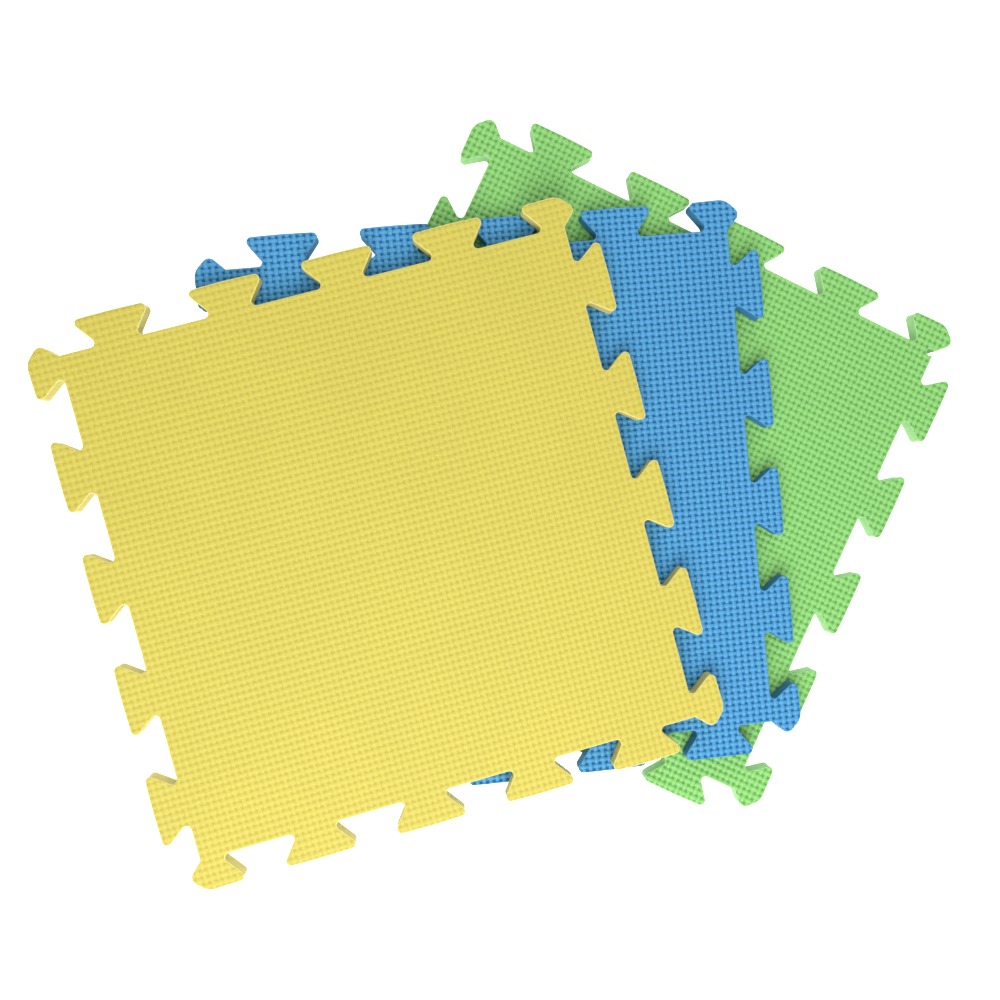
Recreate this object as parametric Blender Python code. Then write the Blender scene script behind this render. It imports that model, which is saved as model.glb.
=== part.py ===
"""Blocking mats: three interlocking foam mats lying in a loose, fanned-out pile.

Units are metres and +Z is up. The origin is on the floor, under the middle of the pile's
bounding box. Each mat is one die-cut sheet of closed-cell foam with the same edge all round:
a quarter turn brings a mat onto itself, so any side joins any side of another mat.
"""

import math

import bpy
from mathutils import Matrix, Vector

MM = 0.001

# Mat: driving dimensions.
JOINED_PITCH = 300 * MM          # from a mat's centre to the centre of the mat joined to it
TAB_DEPTH = 17.2 * MM            # how far the crowned end of a tab stands out from the edge
THICKNESS = 10 * MM
BODY_SIDE = JOINED_PITCH - TAB_DEPTH
HALF = BODY_SIDE / 2

# Tabs: four full ones on each side, and a half-corner one at its clockwise end.
TABS_PER_SIDE = 4
TAB_PITCH = 62.4 * MM
FIRST_TAB = -1.75                # in tab pitches from the middle of the side
FLANK_CLEARANCE = 0.1 * MM       # between a tab's flank and the socket that it enters
TAB_HEAD = 43.8 * MM             # width over the head, before its corners are rounded
TAB_NECK = TAB_PITCH - TAB_HEAD - 2 * FLANK_CLEARANCE
TAB_CROWN = 0.6 * MM             # rise of the tab's end from its corners to its middle
TAB_SHOULDER = TAB_DEPTH - TAB_CROWN

# Rounding of the die-cut outline, seen from above.
NECK_RADIUS = 2.6 * MM
HEAD_RADIUS = 2.6 * MM
CROWN_RADIUS = 400 * MM
CORNER_END_RADIUS = 9.0 * MM
CORNER_TIP_RADIUS = 4.0 * MM
CORNER_ROOT_RADIUS = 1.0 * MM
ARC_HEIGHT = 0.06 * MM           # farthest that an arc strays from the straight edges on it

# A round nick that the green mat has at the root of one corner tab.
NICKED_MAT = "green_mat"
NICK_RADIUS = 2.4 * MM
NICK_OFFSET = Vector((-1.9, -1.1)) * MM      # from the root to the nick's centre
NICK_CORNER = 24                 # the root's place in the list of corners: the last of side one

RIM = 0.5 * MM                   # chamfer that stands for the softened upper and lower rims

# The pile: each mat lies on the one before it, and a hair's breadth parts their faces.
LAYER_GAP = 0.3 * MM
# name, centre and turn as the mats lie on each other, and colour.
PILE = (
    ("green_mat", (0.0, 0.0), math.radians(-25.0), (0.28, 0.62, 0.19)),
    ("blue_mat", (-67.0 * MM, -19.0 * MM), math.radians(5.5), (0.09, 0.32, 0.58)),
    ("yellow_mat", (-134.0 * MM, -41.0 * MM), math.radians(15.2), (0.78, 0.67, 0.13)),
)
FOAM_ROUGHNESS = 0.75


def arc(centre, spoke, turn):
    """Points that a spoke from the centre passes over as it turns."""
    longest_step = 2 * math.acos(1 - ARC_HEIGHT / spoke.length)
    steps = max(2, math.ceil(abs(turn) / longest_step))
    return [centre + Matrix.Rotation(turn * step / steps, 2) @ spoke for step in range(steps + 1)]


def fillet(corner, before, after):
    """Arc of the corner's own radius that touches the edges to both neighbours."""
    here = Vector(corner[:2])
    back = (Vector(before[:2]) - here).normalized()
    ahead = (Vector(after[:2]) - here).normalized()
    half_angle = back.angle(ahead) / 2
    reach = corner[2] / math.tan(half_angle)
    centre = here + (back + ahead).normalized() * (corner[2] / math.sin(half_angle))
    start = here + back * reach - centre
    end = here + ahead * reach - centre
    return arc(centre, start, -start.angle_signed(end))


def nick(corner, before, after):
    """Round bite out of the foam at an inward corner, open only at the corner itself."""
    here = Vector(corner[:2])
    centre = here + NICK_OFFSET
    spokes = []
    for neighbour in (before, after):
        along = (Vector(neighbour[:2]) - here).normalized()
        inside = NICK_OFFSET.dot(along)
        reach = inside + math.sqrt(NICK_RADIUS**2 - NICK_OFFSET.length_squared + inside**2)
        spokes.append(here + along * reach - centre)
    return arc(centre, spokes[0], math.tau + spokes[1].angle_signed(spokes[0]))


def tab_corners(middle):
    """Corners of one full dovetail tab whose middle is at x = middle on the upper side."""
    neck = TAB_NECK / 2
    head = TAB_HEAD / 2
    shoulder = HALF + TAB_SHOULDER
    return [
        (middle - neck, HALF, NECK_RADIUS),
        (middle - head, shoulder, HEAD_RADIUS),
        (middle, HALF + TAB_DEPTH, CROWN_RADIUS),
        (middle + head, shoulder, HEAD_RADIUS),
        (middle + neck, HALF, NECK_RADIUS),
    ]


def corner_tab_corners():
    """Corners of the tab at the side's clockwise end.

    Its inner flank meets the last socket. Its tip reaches the middle of the small square that
    four joined mats leave between their corners, so the four corner tabs fill that square.
    """
    socket_middle = (FIRST_TAB + TABS_PER_SIDE - 0.5) * TAB_PITCH
    neck = socket_middle + TAB_HEAD / 2 + FLANK_CLEARANCE
    head = socket_middle + TAB_NECK / 2 + FLANK_CLEARANCE
    tip = HALF + TAB_DEPTH / 2
    return [
        (neck, HALF, NECK_RADIUS),
        (head, HALF + TAB_SHOULDER, HEAD_RADIUS),
        (HALF, HALF + TAB_DEPTH, CORNER_END_RADIUS),
        (tip, tip, CORNER_TIP_RADIUS),
        (HALF, HALF, CORNER_ROOT_RADIUS),
    ]


def mat_outline(nicked=False):
    """Points of a whole mat's outline, clockwise from the upper side's left end."""
    side = []
    for tab in range(TABS_PER_SIDE):
        side += tab_corners((FIRST_TAB + tab) * TAB_PITCH)
    side += corner_tab_corners()
    corners = []
    for _ in range(4):
        corners += side
        side = [(y, -x, radius) for x, y, radius in side]
    points = []
    for index, corner in enumerate(corners):
        shape = nick if nicked and index == NICK_CORNER else fillet
        points += shape(corner, corners[index - 1], corners[(index + 1) % len(corners)])
    return points


def pile_middle(outline):
    """Middle of the bounding box of the whole pile, seen from above."""
    xs = []
    ys = []
    for _, centre, turn, _ in PILE:
        for point in outline:
            placed = Matrix.Rotation(turn, 2) @ point + Vector(centre)
            xs.append(placed.x)
            ys.append(placed.y)
    return Vector(((min(xs) + max(xs)) / 2, (min(ys) + max(ys)) / 2))


def foam_material(name, colour):
    """Matt closed-cell foam of one colour."""
    material = bpy.data.materials.new(name)
    material.use_nodes = True
    shader = material.node_tree.nodes["Principled BSDF"]
    shader.inputs["Base Color"].default_value = (*colour, 1)
    shader.inputs["Roughness"].default_value = FOAM_ROUGHNESS
    shader.inputs["Metallic"].default_value = 0
    return material


def make_mat(name, outline, colour, collection):
    """One foam mat about its own centre, with chamfered upper and lower rims."""
    curve = bpy.data.curves.new(name, "CURVE")
    curve.dimensions = "2D"
    curve.fill_mode = "BOTH"
    curve.offset = -RIM
    curve.bevel_depth = RIM
    curve.bevel_resolution = 0
    curve.extrude = THICKNESS / 2 - RIM
    spline = curve.splines.new("POLY")
    spline.points.add(len(outline) - 1)
    for target, point in zip(spline.points, outline):
        target.co = (point.x, point.y, 0, 1)
    spline.use_cyclic_u = True
    curve.materials.append(foam_material(name + "_foam", colour))
    mat = bpy.data.objects.new(name, curve)
    collection.objects.link(mat)
    return mat


def main():
    for leftover in list(bpy.data.objects):
        bpy.data.objects.remove(leftover, do_unlink=True)
    collection = bpy.data.collections.new("blocking_mats")
    bpy.context.scene.collection.children.link(collection)

    middle = pile_middle(mat_outline())
    for layer, (name, centre, turn, colour) in enumerate(PILE):
        mat = make_mat(name, mat_outline(name == NICKED_MAT), colour, collection)
        place = Vector(centre) - middle
        height = THICKNESS / 2 + layer * (THICKNESS + LAYER_GAP)
        mat.location = (place.x, place.y, height)
        mat.rotation_euler.z = turn


main()
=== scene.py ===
"""Blocking mats: three interlocking foam mats in a loose, fanned-out pile.

Each mat is one sheet of closed-cell foam. Its upper skin is moulded as a plain weave of flat
bars, and the tabs are cut through the whole sheet afterwards, so the weave runs off every edge.
Units are metres and +Z is up.
"""

import math

import bmesh
import bpy
from bpy.props import FloatProperty, FloatVectorProperty, PointerProperty
from bpy.types import Operator, Panel, PropertyGroup
from mathutils import Matrix, Vector


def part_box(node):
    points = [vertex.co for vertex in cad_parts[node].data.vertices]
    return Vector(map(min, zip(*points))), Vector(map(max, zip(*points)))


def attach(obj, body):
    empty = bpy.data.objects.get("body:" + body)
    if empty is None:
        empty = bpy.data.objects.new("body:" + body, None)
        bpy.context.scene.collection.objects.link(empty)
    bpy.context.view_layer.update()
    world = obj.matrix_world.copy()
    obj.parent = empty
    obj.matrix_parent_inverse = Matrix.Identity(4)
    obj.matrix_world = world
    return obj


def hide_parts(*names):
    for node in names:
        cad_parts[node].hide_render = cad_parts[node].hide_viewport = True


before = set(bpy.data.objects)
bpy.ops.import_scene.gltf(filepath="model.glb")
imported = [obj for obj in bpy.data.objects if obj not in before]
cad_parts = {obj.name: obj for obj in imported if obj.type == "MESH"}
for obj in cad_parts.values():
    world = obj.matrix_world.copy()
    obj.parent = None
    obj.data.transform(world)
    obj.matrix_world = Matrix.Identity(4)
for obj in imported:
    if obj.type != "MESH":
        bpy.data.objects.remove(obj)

bl_info = {
    "name": "Blocking Mats",
    "version": (1, 0, 0),
    "blender": (4, 5, 0),
    "location": "3D View > Sidebar > Blocking Mats",
    "description": "Builds three woven-skinned interlocking foam mats and their studio",
    "category": "Add Mesh",
}

MM = 0.001
WELD = 0.001 * MM                # corners closer than this are one corner
ON_LINE = 0.02 * MM              # a corner this near to a scoring line lies on it
SAME_PLANE = math.radians(0.3)   # faces closer in direction than this are one flat face
SHARP = math.radians(40)         # faces that meet more steeply than this share a hard edge

# How far up a face's direction points: 1 is straight up, 0 level, -1 straight down.
FLAT = 0.9
SLOPING = 0.1

# Foam: about how big the features of each pattern are, and how high the small ones stand.
CLOUD = 45 * MM
SPECK = 0.9 * MM
GRAIN = 0.3 * MM
CELL = 0.55 * MM
GRAIN_HEIGHT = 0.03 * MM
SPECK_HEIGHT = 0.07 * MM
CUT_CELL_HEIGHT = 0.06 * MM
PEBBLE_HEIGHT = 0.1 * MM

# Foam: each tone multiplies a mat's own colour, and each share says how much of it shows.
CLOUD_TONES = (0.965, 1.035)
SPECK_TONE = 1.16
# Painted highlight: this tone lightens the flat tops of the bars.
CROWN_HIGHLIGHT_TONE = 1.1
CELL_TONES = (0.9, 1.1)
# The shares below set how much painted highlight shows on the crowns and rims, and how much
# painted shade shows in the pits and creases.
CROWN_HIGHLIGHT_SHARE = 0.35
PIT_SHADE_SHARE = 0.85
CREASE_SHADE_SHARE = 0.35
EDGE_HIGHLIGHT_SHARE = 0.7
SKIN_ROUGHNESS = (0.5, 0.6)
CUT_ROUGHER = 0.25
PIT_ROUGHER = 0.2
FOAM_SPECULAR = 0.3
FLANK_START = 0.09               # how far inside a bar's foot its flank starts, in pitches
FLANK_END = 0.01                 # how far outside it the flank ends

# Stage.
FLOOR_REACH = 40                 # half the floor's side
FLOOR_CLOUD = 0.4
FLOOR_TONE = 0.995               # where a cloud of the faint mottling is darkest
FLOOR_ROUGHNESS = 0.9
FLOOR_SPECULAR = 0.1
WHITE = (1, 1, 1, 1)
SENSOR = 36                      # width of the camera's sensor in millimetres
NEAREST = 0.01                   # closest thing that the camera shows
MIDDLE = Vector()                # the point that every light faces


# ---------------------------------------------------------------- sizes and colours

def length(name, description, millimetres):
    return FloatProperty(
        name=name, description=description, default=millimetres * MM, subtype="DISTANCE",
        unit="LENGTH", precision=5,
    )


def angle(name, description, degrees):
    return FloatProperty(
        name=name, description=description, default=math.radians(degrees), subtype="ANGLE",
        unit="ROTATION",
    )


def amount(name, description, value):
    return FloatProperty(name=name, description=description, default=value)


def colour(name, description, value):
    return FloatVectorProperty(
        name=name, description=description, default=value, subtype="COLOR", size=3,
        min=0, max=1,
    )


def place(name, description, value):
    return FloatVectorProperty(
        name=name, description=description, default=value, subtype="TRANSLATION",
        unit="LENGTH", size=3,
    )


class WeaveSettings(PropertyGroup):
    """The moulded weave that all three mats share."""

    pitch_x: length("Pitch along", "From one bar's middle to the next along a mat", 3.45)
    pitch_y: length("Pitch across", "From one bar's middle to the next across a mat", 3.8)
    crown_x: length("Crown along", "Half the flat top of a bar, along a mat", 0.84)
    crown_y: length("Crown across", "Half the flat top of a bar, across a mat", 1.00)
    foot_x: length("Foot along", "Half a bar at the foot of its flank, along a mat", 1.14)
    foot_y: length("Foot across", "Half a bar at the foot of its flank, across a mat", 1.30)
    end_dip: length("End dip", "How far a bar has sunk where it goes under the next one", 0.15)
    groove: length("Groove", "Depth of the crease along a bar's flank", 0.33)
    pit: length("Pit", "Depth of the square hollow between four bars", 1.05)
    rim_relief: length("Rim relief", "Greatest depth of the weave at the cut edge", 0.4)
    lip: length("Lip", "How far the cut edge stands out next to each face", 0.15)
    wall_hollow: length("Wall hollow", "How far the cut wall draws in halfway up", 0.15)
    wall_band: length("Wall band", "Height of the rounded stretch next to each rim", 0.7)


class YellowMatSettings(PropertyGroup):
    """The mat on top of the pile."""

    turn: angle("Turn", "How far the mat is turned, anticlockwise from above", 15.2)
    relief: amount("Relief", "Share of the full depth of the weave", 0.3)
    skin: colour("Skin", "Colour of the bars", (0.370, 0.320, 0.049))
    # Painted shade: the hollow colour darkens the pits and the creases along the bars.
    hollow: colour("Hollow", "Colour in the pits", (0.345, 0.290, 0.041))
    cut: colour("Cut wall", "Colour of the cut foam", (0.47, 0.42, 0.135))
    # Painted highlight: the edge colour is a pale line along the rim round each face.
    edge: colour("Edge", "Colour of the thin rim round each face", (0.66, 0.61, 0.26))


class BlueMatSettings(PropertyGroup):
    """The mat in the middle of the pile, whose weave lies a quarter turn round."""

    turn: angle("Turn", "How far the mat is turned, anticlockwise from above", 95.5)
    relief: amount("Relief", "Share of the full depth of the weave", 1.0)
    skin: colour("Skin", "Colour of the bars", (0.041, 0.200, 0.380))
    # Painted shade: the hollow colour darkens the pits and the creases along the bars.
    hollow: colour("Hollow", "Colour in the pits", (0.003, 0.080, 0.205))
    cut: colour("Cut wall", "Colour of the cut foam", (0.025, 0.150, 0.290))
    # Painted highlight: the edge colour is a pale line along the rim round each face.
    edge: colour("Edge", "Colour of the thin rim round each face", (0.080, 0.270, 0.450))


class GreenMatSettings(PropertyGroup):
    """The mat under the other two."""

    turn: angle("Turn", "How far the mat is turned, anticlockwise from above", -25.0)
    relief: amount("Relief", "Share of the full depth of the weave", 0.75)
    skin: colour("Skin", "Colour of the bars", (0.160, 0.375, 0.105))
    # Painted shade: the hollow colour darkens the pits and the creases along the bars.
    hollow: colour("Hollow", "Colour in the pits", (0.072, 0.255, 0.038))
    cut: colour("Cut wall", "Colour of the cut foam", (0.22, 0.42, 0.17))
    # Painted highlight: the edge colour is a pale line along the rim round each face.
    edge: colour("Edge", "Colour of the thin rim round each face", (0.33, 0.56, 0.26))


class StageSettings(PropertyGroup):
    """Floor, lights and camera."""

    floor: colour("Floor", "Colour of the floor", (0.93, 0.93, 0.93))
    glow: amount("Floor glow", "Light that the floor gives off itself", 0.7)
    world: amount("World light", "Strength of the light from all round", 0.65)
    key: amount("Key light", "Power of the large light at the near side, in watts", 14.2)
    key_side: length("Key side", "Side of the key light", 800)
    key_place: place("Key place", "Where the key light hangs", (-0.08, -0.66, 0.78))
    fill: amount("Fill light", "Power of the large light at the far side, in watts", 8.0)
    fill_side: length("Fill side", "Side of the fill light", 500)
    fill_place: place("Fill place", "Where the fill light hangs", (0.3, 1.3, 0.9))
    top: amount("Top light", "Power of the light overhead, in watts", 8.0)
    top_side: length("Top side", "Side of the top light", 1200)
    top_place: place("Top place", "Where the top light hangs", (0.0, 0.0, 1.5))
    camera: place("Camera", "Where the camera stands", (-0.0447, 0.0024, 0.5733))
    camera_pitch: angle("Camera pitch", "Turn of the camera about the x axis", -0.530)
    camera_roll: angle("Camera roll", "Turn of the camera about the y axis", -3.895)
    lens: amount("Lens", "Focal length in millimetres on a 36 mm sensor", 35.48)


# ---------------------------------------------------------------- materials

class Wire:
    """A socket's value in a recipe. Arithmetic on it adds Math nodes."""

    def __init__(self, recipe, socket):
        self.recipe = recipe
        self.socket = socket

    def math(self, operation, *values):
        return self.recipe.add(
            "ShaderNodeMath", {"operation": operation}, dict(enumerate(values))
        )

    def __add__(self, other):
        return self.math("ADD", self, other)

    def __sub__(self, other):
        return self.math("SUBTRACT", self, other)

    def __rsub__(self, other):
        return self.math("SUBTRACT", other, self)

    def __mul__(self, other):
        return self.math("MULTIPLY", self, other)

    def __abs__(self):
        return self.math("ABSOLUTE", self)

    __radd__ = __add__
    __rmul__ = __mul__

    def nearest(self):
        """The nearest whole number."""
        return self.math("ROUND", self)

    def parity(self):
        """0 for an even whole number and 1 for an odd one."""
        return self.math("PINGPONG", self, 1)

    def other(self, out):
        """Another output of the same node."""
        return Wire(self.recipe, self.socket.node.outputs[out])

    def rise(self, low, high, start=0.0, end=1.0):
        """Goes smoothly from start to end as the value goes from low to high."""
        return self.recipe.add(
            "ShaderNodeMapRange",
            {"interpolation_type": "SMOOTHSTEP"},
            {"Value": self, "From Min": low, "From Max": high, "To Min": start, "To Max": end},
        )


class Recipe:
    """A material, with one way of adding a node to it."""

    def __init__(self, name):
        self.material = bpy.data.materials.new(name)
        self.material.use_nodes = True
        self.tree = self.material.node_tree
        self.shader = self.tree.nodes["Principled BSDF"]

    def feed(self, socket, value):
        if isinstance(value, Wire):
            self.tree.links.new(value.socket, socket)
        elif hasattr(value, "__len__") and len(value) == 3 and socket.type == "RGBA":
            socket.default_value = (*value, 1)
        else:
            socket.default_value = value

    def add(self, kind, settings=None, sockets=None, out=0):
        node = self.tree.nodes.new(kind)
        for name, value in (settings or {}).items():
            setattr(node, name, value)
        for name, value in (sockets or {}).items():
            self.feed(node.inputs[name], value)
        return Wire(self, node.outputs[out])

    def mix(self, factor, first, second):
        """Goes from the first colour to the second as the factor goes from 0 to 1."""
        return self.add(
            "ShaderNodeMix", {"data_type": "RGBA"}, {0: factor, 6: first, 7: second}, out=2
        )

    def noise(self, where, size, detail, roughness):
        """Soft noise whose features are about the given size."""
        return self.add(
            "ShaderNodeTexNoise",
            None,
            {"Vector": where, "Scale": 1 / size, "Detail": detail, "Roughness": roughness},
        )


def foam_material(name, settings, weave, centre):
    """Closed-cell foam: a moulded weave on top, and open cells where it was cut.
    Its colour carries painted highlights on the bars' crowns and rims, and painted shade in the
    pits and creases.
    """
    recipe = Recipe(name)
    where = recipe.add("ShaderNodeTexCoord", out=3)
    lattice = recipe.add(
        "ShaderNodeMapping",
        {"vector_type": "TEXTURE"},
        {
            "Vector": where,
            "Location": centre,
            "Rotation": (0, 0, settings.turn),
            "Scale": (weave.pitch_x, weave.pitch_y, 1),
        },
    )
    u = recipe.add("ShaderNodeSeparateXYZ", None, {"Vector": lattice})
    v = u.other(1)
    column = u.nearest()
    row = v.nearest()
    upright = (column + row).parity()

    # The attribute is 1 on the upper face, -1 on the under one and 0 on the wall between them.
    face = recipe.add("ShaderNodeAttribute", {"attribute_name": "face"}, out=2)
    from_wall = abs(face)
    woven = face.rise(0.55, 0.95)
    cut = from_wall.rise(0.25, 0.9, 1, 0)
    under = face.rise(-0.95, -0.55, 1, 0)
    # The rim mask places the painted highlight along each face's rim.
    rim = from_wall.rise(0.05, 0.5) * from_wall.rise(0.5, 0.99, 1, 0)

    # 0 along a bar's top, and 1 past its foot.
    foot_x = weave.foot_x / weave.pitch_x
    foot_y = weave.foot_y / weave.pitch_y
    edge_x = abs(u - column).rise(foot_x - FLANK_START, foot_x + FLANK_END)
    edge_y = abs(v - row).rise(foot_y - FLANK_START, foot_y + FLANK_END)
    # The pit and crease masks place painted shade, and the crown mask places a painted
    # highlight; the pit mask also roughens the pits.
    pit = edge_x * edge_y
    crease = (upright * edge_x + (1 - upright) * edge_y) * (1 - pit)
    crown = (1 - edge_x) * (1 - edge_y)

    cloud = recipe.noise(where, CLOUD, detail=3, roughness=0.5).rise(0.3, 0.7)
    speck = recipe.noise(where, SPECK, detail=3, roughness=0.6)
    grain = recipe.noise(where, GRAIN, detail=2, roughness=0.6)
    cells = recipe.add(
        "ShaderNodeTexVoronoi",
        {"feature": "SMOOTH_F1"},
        {"Vector": where, "Scale": 1 / CELL, "Smoothness": 0.4},
    )

    skin, open_cut = Vector(settings.skin), Vector(settings.cut)
    bars = recipe.mix(cloud, *(skin * tone for tone in CLOUD_TONES))
    bars = recipe.mix(speck.rise(0.35, 0.7), bars, skin * SPECK_TONE)
    # Painted highlight: the flat tops of the bars are lightened.
    bars = recipe.mix(crown * woven * CROWN_HIGHLIGHT_SHARE, bars, skin * CROWN_HIGHLIGHT_TONE)
    # Painted shade: the pits, and the creases along the bars' flanks, are darkened towards the
    # hollow colour.
    sunk = recipe.mix(
        (pit * PIT_SHADE_SHARE + crease * CREASE_SHADE_SHARE) * woven, bars, settings.hollow
    )
    wall = recipe.mix(cells.rise(0.1, 0.6), *(open_cut * tone for tone in CELL_TONES))
    surface = recipe.mix(cut, sunk, wall)
    # Painted highlight: a pale line along the rim round each face.
    surface = recipe.mix(rim * EDGE_HIGHLIGHT_SHARE, surface, settings.edge)
    recipe.feed(recipe.shader.inputs["Base Color"], surface)

    dull = speck.rise(0.3, 0.7, *SKIN_ROUGHNESS) + cut * CUT_ROUGHER + pit * woven * PIT_ROUGHER
    recipe.feed(recipe.shader.inputs["Roughness"], dull)

    fine = grain * GRAIN_HEIGHT + speck * SPECK_HEIGHT
    height = fine + cells * cut * CUT_CELL_HEIGHT + cells * under * PEBBLE_HEIGHT
    bump = recipe.add(
        "ShaderNodeBump", None, {"Strength": 1.0, "Distance": 1.0, "Height": height}
    )
    recipe.feed(recipe.shader.inputs["Normal"], bump)
    recipe.shader.inputs["Specular IOR Level"].default_value = FOAM_SPECULAR
    return recipe.material


def floor_material(settings):
    """Plain pale matt floor with the faintest mottling, which glows a little."""
    recipe = Recipe("pale_floor")
    where = recipe.add("ShaderNodeTexCoord", out=3)
    cloud = recipe.noise(where, FLOOR_CLOUD, detail=3, roughness=0.5).rise(0.3, 0.7)
    floor = Vector(settings.floor)
    mottled = recipe.mix(cloud, floor * FLOOR_TONE, floor)
    recipe.feed(recipe.shader.inputs["Base Color"], mottled)
    recipe.shader.inputs["Roughness"].default_value = FLOOR_ROUGHNESS
    recipe.shader.inputs["Specular IOR Level"].default_value = FLOOR_SPECULAR
    recipe.shader.inputs["Emission Color"].default_value = WHITE
    recipe.shader.inputs["Emission Strength"].default_value = settings.glow
    return recipe.material


# ---------------------------------------------------------------- mats

class Weave:
    """How deep the moulded weave is at any point of a mat."""

    def __init__(self, settings, relief):
        self.pitch = (settings.pitch_x, settings.pitch_y)
        self.crown = (settings.crown_x, settings.crown_y)
        self.foot = (settings.foot_x, settings.foot_y)
        self.end_dip = settings.end_dip * relief
        self.groove = settings.groove * relief
        self.pit = settings.pit * relief

    def lines(self, axis, reach):
        """Places of the lines along which the bars' tops and feet run, from side to side."""
        cells = math.ceil(reach / self.pitch[axis])
        offsets = (-self.foot[axis], -self.crown[axis], self.crown[axis], self.foot[axis])
        return [
            cell * self.pitch[axis] + offset
            for cell in range(-cells, cells + 1)
            for offset in offsets
        ]

    def between(self, axis, position):
        """The two lines that a position lies between, each as its cell and whether it is a
        foot line, and how far it is from the first to the second."""
        pitch, crown, foot = self.pitch[axis], self.crown[axis], self.foot[axis]
        cell = round(position / pitch)
        inside = position - cell * pitch
        side = 1 if inside > 0 else -1
        if abs(inside) <= crown:
            return (cell, False), (cell, False), 0.0
        if abs(inside) <= foot:
            return (cell, False), (cell, True), (abs(inside) - crown) / (foot - crown)
        return (cell, True), (cell + side, True), (abs(inside) - foot) / (pitch - 2 * foot)

    def corner_depth(self, column, row):
        """Depth where one line of a column crosses one line of a row."""
        if column[1] and row[1]:
            return self.pit
        if not column[1] and not row[1]:
            return 0.0
        upright = (column[0] + row[0]) % 2 == 1
        return self.groove if column[1] == upright else self.end_dip

    def depth(self, x, y):
        """Depth at a point, worked out from the four crossings of lines round it."""
        near_x, far_x, part_x = self.between(0, x)
        near_y, far_y, part_y = self.between(1, y)
        near = (
            self.corner_depth(near_x, near_y) * (1 - part_x)
            + self.corner_depth(far_x, near_y) * part_x
        )
        far = (
            self.corner_depth(near_x, far_y) * (1 - part_x)
            + self.corner_depth(far_x, far_y) * part_x
        )
        return near * (1 - part_y) + far * part_y


def score(bm, faces, axis, places):
    """Cuts the faces along parallel lines, given in rising order, and hands back all their
    pieces."""
    across = Vector((0, 0, 0))
    across[axis] = 1
    done = []
    ahead = list(faces)
    for position in places:
        edges = {edge for face in ahead for edge in face.edges}
        corners = {corner for edge in edges for corner in edge.verts}
        result = bmesh.ops.bisect_plane(
            bm, geom=[*corners, *edges, *ahead], dist=ON_LINE, plane_co=across * position,
            plane_no=across,
        )
        ahead = []
        for piece in result["geom"]:
            if isinstance(piece, bmesh.types.BMFace):
                middle = piece.calc_center_median()[axis]
                (ahead if middle > position else done).append(piece)
    return done + ahead


def make_mat(name, node_name, body, settings, weave_settings):
    """Builds one mat where its plain solid lies."""
    low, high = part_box(node_name)
    centre = Vector(((low.x + high.x) / 2, (low.y + high.y) / 2, low.z))
    thickness = high.z - low.z
    lie = Matrix.Translation(centre) @ Matrix.Rotation(settings.turn, 4, "Z")

    bm = bmesh.new()
    bm.from_mesh(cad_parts[node_name].data)
    bmesh.ops.remove_doubles(bm, verts=bm.verts, dist=WELD)
    bmesh.ops.transform(bm, matrix=lie.inverted(), verts=bm.verts)
    bmesh.ops.dissolve_limit(
        bm, angle_limit=SAME_PLANE, verts=bm.verts, edges=bm.edges
    )
    rim = thickness - max(v.co.z for v in bm.verts if v.co.z < thickness - WELD)
    band = rim + weave_settings.wall_band
    walls = [f for f in bm.faces if abs(f.normal.z) < SLOPING]
    score(bm, walls, 2, (band, thickness / 2, thickness - band))

    reach = max(v.co.x for v in bm.verts)
    weave = Weave(weave_settings, settings.relief)
    upper = [f for f in bm.faces if f.normal.z > SLOPING]
    upper = score(bm, upper, 0, weave.lines(0, reach))
    upper = score(bm, upper, 1, weave.lines(1, reach))

    face_layer = bm.verts.layers.float.new("face")
    bm.normal_update()
    for corner in bm.verts:
        height = corner.co.z
        halfway_up = abs(height - thickness / 2) < WELD
        beside = [f.normal for f in corner.link_faces if abs(f.normal.z) < FLAT]
        outward = sum(beside, Vector())
        if height > thickness - WELD:
            corner[face_layer] = 1
            at_rim = any(f.normal.z < FLAT for f in corner.link_faces)
            depth = weave.depth(corner.co.x, corner.co.y)
            corner.co.z -= min(depth, weave_settings.rim_relief) if at_rim else depth
        elif height < WELD:
            corner[face_layer] = -1
        elif halfway_up:
            corner.co -= corner.normal * weave_settings.wall_hollow
        if beside and not halfway_up:
            outward.z = 0
            corner.co += outward.normalized() * weave_settings.lip
    for face in bm.faces:
        face.smooth = face.normal.z > -FLAT
    bmesh.ops.transform(bm, matrix=lie, verts=bm.verts)
    mesh = bpy.data.meshes.new(name)
    bm.to_mesh(mesh)
    bm.free()
    mesh.set_sharp_from_angle(angle=SHARP)

    mat = bpy.data.objects.new(name, mesh)
    bpy.context.scene.collection.objects.link(mat)
    mesh.materials.append(foam_material(name + "_foam", settings, weave_settings, centre))
    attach(mat, body)
    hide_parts(node_name)


# ---------------------------------------------------------------- stage

def soft_light(name, power, side, stand):
    """One large square light that faces the middle of the floor."""
    lamp = bpy.data.lights.new(name, "AREA")
    lamp.energy = power
    lamp.shape = "SQUARE"
    lamp.size = side
    light = bpy.data.objects.new(name, lamp)
    light.location = stand
    light.rotation_euler = (MIDDLE - Vector(stand)).to_track_quat("-Z", "Y").to_euler()
    light.visible_camera = False
    bpy.context.scene.collection.objects.link(light)


def make_floor(settings):
    bm = bmesh.new()
    bmesh.ops.create_grid(bm, x_segments=1, y_segments=1, size=FLOOR_REACH)
    mesh = bpy.data.meshes.new("floor")
    bm.to_mesh(mesh)
    bm.free()
    floor = bpy.data.objects.new("floor", mesh)
    mesh.materials.append(floor_material(settings))
    bpy.context.scene.collection.objects.link(floor)


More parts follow.
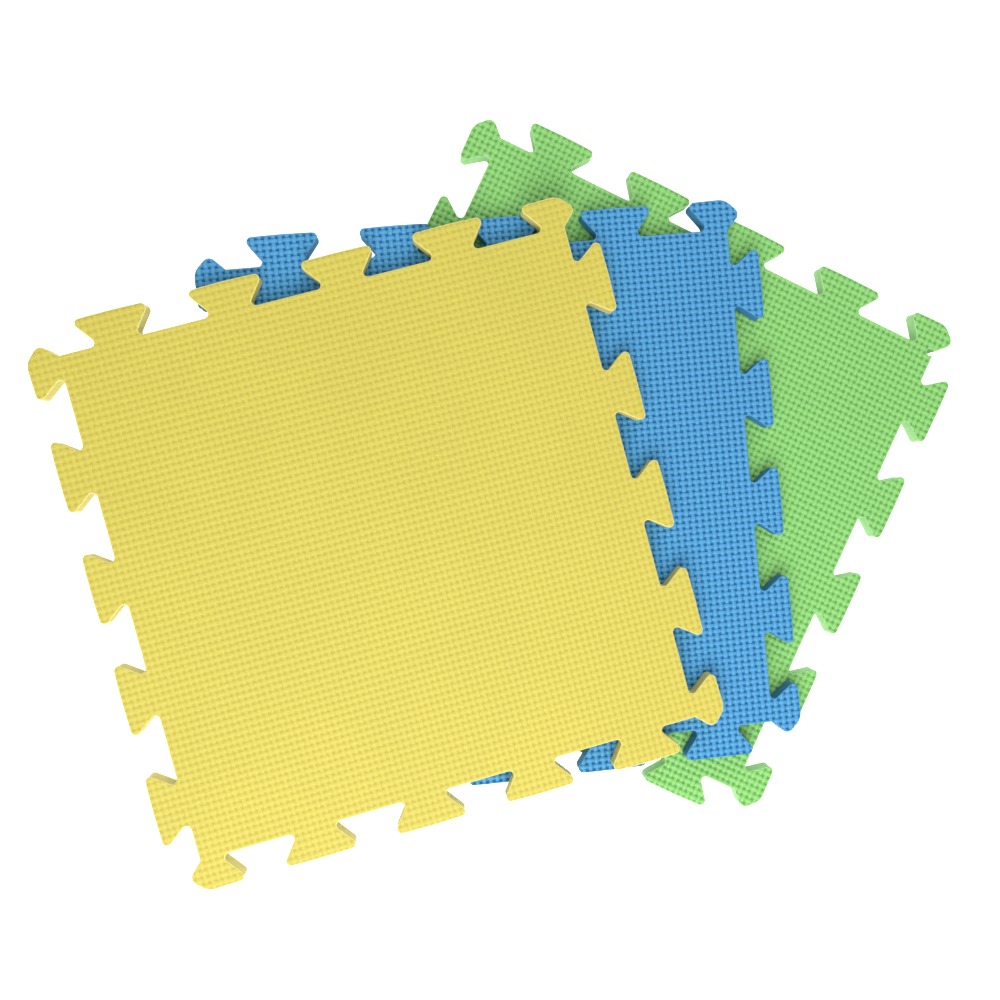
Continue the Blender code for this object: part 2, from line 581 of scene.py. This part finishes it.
def make_camera(settings):
    lens = bpy.data.cameras.new("camera")
    lens.lens = settings.lens
    lens.sensor_width = SENSOR
    lens.clip_start = NEAREST
    camera = bpy.data.objects.new("camera", lens)
    camera.location = settings.camera
    camera.rotation_euler = (settings.camera_pitch, settings.camera_roll, 0)
    bpy.context.scene.collection.objects.link(camera)
    bpy.context.scene.camera = camera


# ---------------------------------------------------------------- operators

class BLOCKING_MATS_OT_bottom(Operator):
    """Make the green mat at the bottom of the pile"""

    bl_idname = "blocking_mats.make_bottom"
    bl_label = "Bottom Mat"

    def execute(self, context):
        scene = context.scene
        make_mat(
            "green_woven_mat", "green_mat", "bottom_mat", scene.green_mat,
            scene.mat_weave,
        )
        return {"FINISHED"}


class BLOCKING_MATS_OT_middle(Operator):
    """Make the blue mat in the middle of the pile"""

    bl_idname = "blocking_mats.make_middle"
    bl_label = "Middle Mat"

    def execute(self, context):
        scene = context.scene
        make_mat(
            "blue_woven_mat", "blue_mat", "middle_mat", scene.blue_mat,
            scene.mat_weave,
        )
        return {"FINISHED"}


class BLOCKING_MATS_OT_top(Operator):
    """Make the yellow mat on top of the pile"""

    bl_idname = "blocking_mats.make_top"
    bl_label = "Top Mat"

    def execute(self, context):
        scene = context.scene
        make_mat(
            "yellow_woven_mat", "yellow_mat", "top_mat", scene.yellow_mat,
            scene.mat_weave,
        )
        return {"FINISHED"}


class BLOCKING_MATS_OT_stage(Operator):
    """Lay the floor, hang the lights and stand the camera"""

    bl_idname = "blocking_mats.set_stage"
    bl_label = "Stage"

    def execute(self, context):
        scene = context.scene
        settings = scene.mat_stage
        scene.view_settings.view_transform = "Standard"
        make_floor(settings)
        soft_light("key_light", settings.key, settings.key_side, settings.key_place)
        soft_light("fill_light", settings.fill, settings.fill_side, settings.fill_place)
        soft_light("top_light", settings.top, settings.top_side, settings.top_place)
        world = scene.world or bpy.data.worlds.new("studio")
        scene.world = world
        world.use_nodes = True
        background = world.node_tree.nodes["Background"]
        background.inputs["Color"].default_value = WHITE
        background.inputs["Strength"].default_value = settings.world
        make_camera(settings)
        return {"FINISHED"}


class BLOCKING_MATS_PT_sidebar(Panel):
    """Lists the pieces, and the settings they are made from"""

    bl_idname = "BLOCKING_MATS_PT_sidebar"
    bl_label = "Blocking Mats"
    bl_space_type = "VIEW_3D"
    bl_region_type = "UI"
    bl_category = "Blocking Mats"

    def draw(self, context):
        layout = self.layout
        for kind in OPERATORS:
            layout.operator(kind.bl_idname)
        for name in SETTINGS:
            box = layout.box()
            group = getattr(context.scene, name)
            box.label(text=name.replace("_", " ").capitalize())
            for prop in type(group).__annotations__:
                box.prop(group, prop)


OPERATORS = (
    BLOCKING_MATS_OT_bottom,
    BLOCKING_MATS_OT_middle,
    BLOCKING_MATS_OT_top,
    BLOCKING_MATS_OT_stage,
)
SETTINGS = {
    "mat_weave": WeaveSettings,
    "yellow_mat": YellowMatSettings,
    "blue_mat": BlueMatSettings,
    "green_mat": GreenMatSettings,
    "mat_stage": StageSettings,
}


def register():
    for kind in (*SETTINGS.values(), *OPERATORS, BLOCKING_MATS_PT_sidebar):
        bpy.utils.register_class(kind)
    for name, kind in SETTINGS.items():
        setattr(bpy.types.Scene, name, PointerProperty(type=kind))


def unregister():
    for name in SETTINGS:
        delattr(bpy.types.Scene, name)
    for kind in (BLOCKING_MATS_PT_sidebar, *reversed(OPERATORS), *SETTINGS.values()):
        bpy.utils.unregister_class(kind)


def main():
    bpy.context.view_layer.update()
    register()
    bpy.ops.blocking_mats.make_bottom()
    bpy.ops.blocking_mats.make_middle()
    bpy.ops.blocking_mats.make_top()
    bpy.ops.blocking_mats.set_stage()


if __name__ == "__main__":
    main()
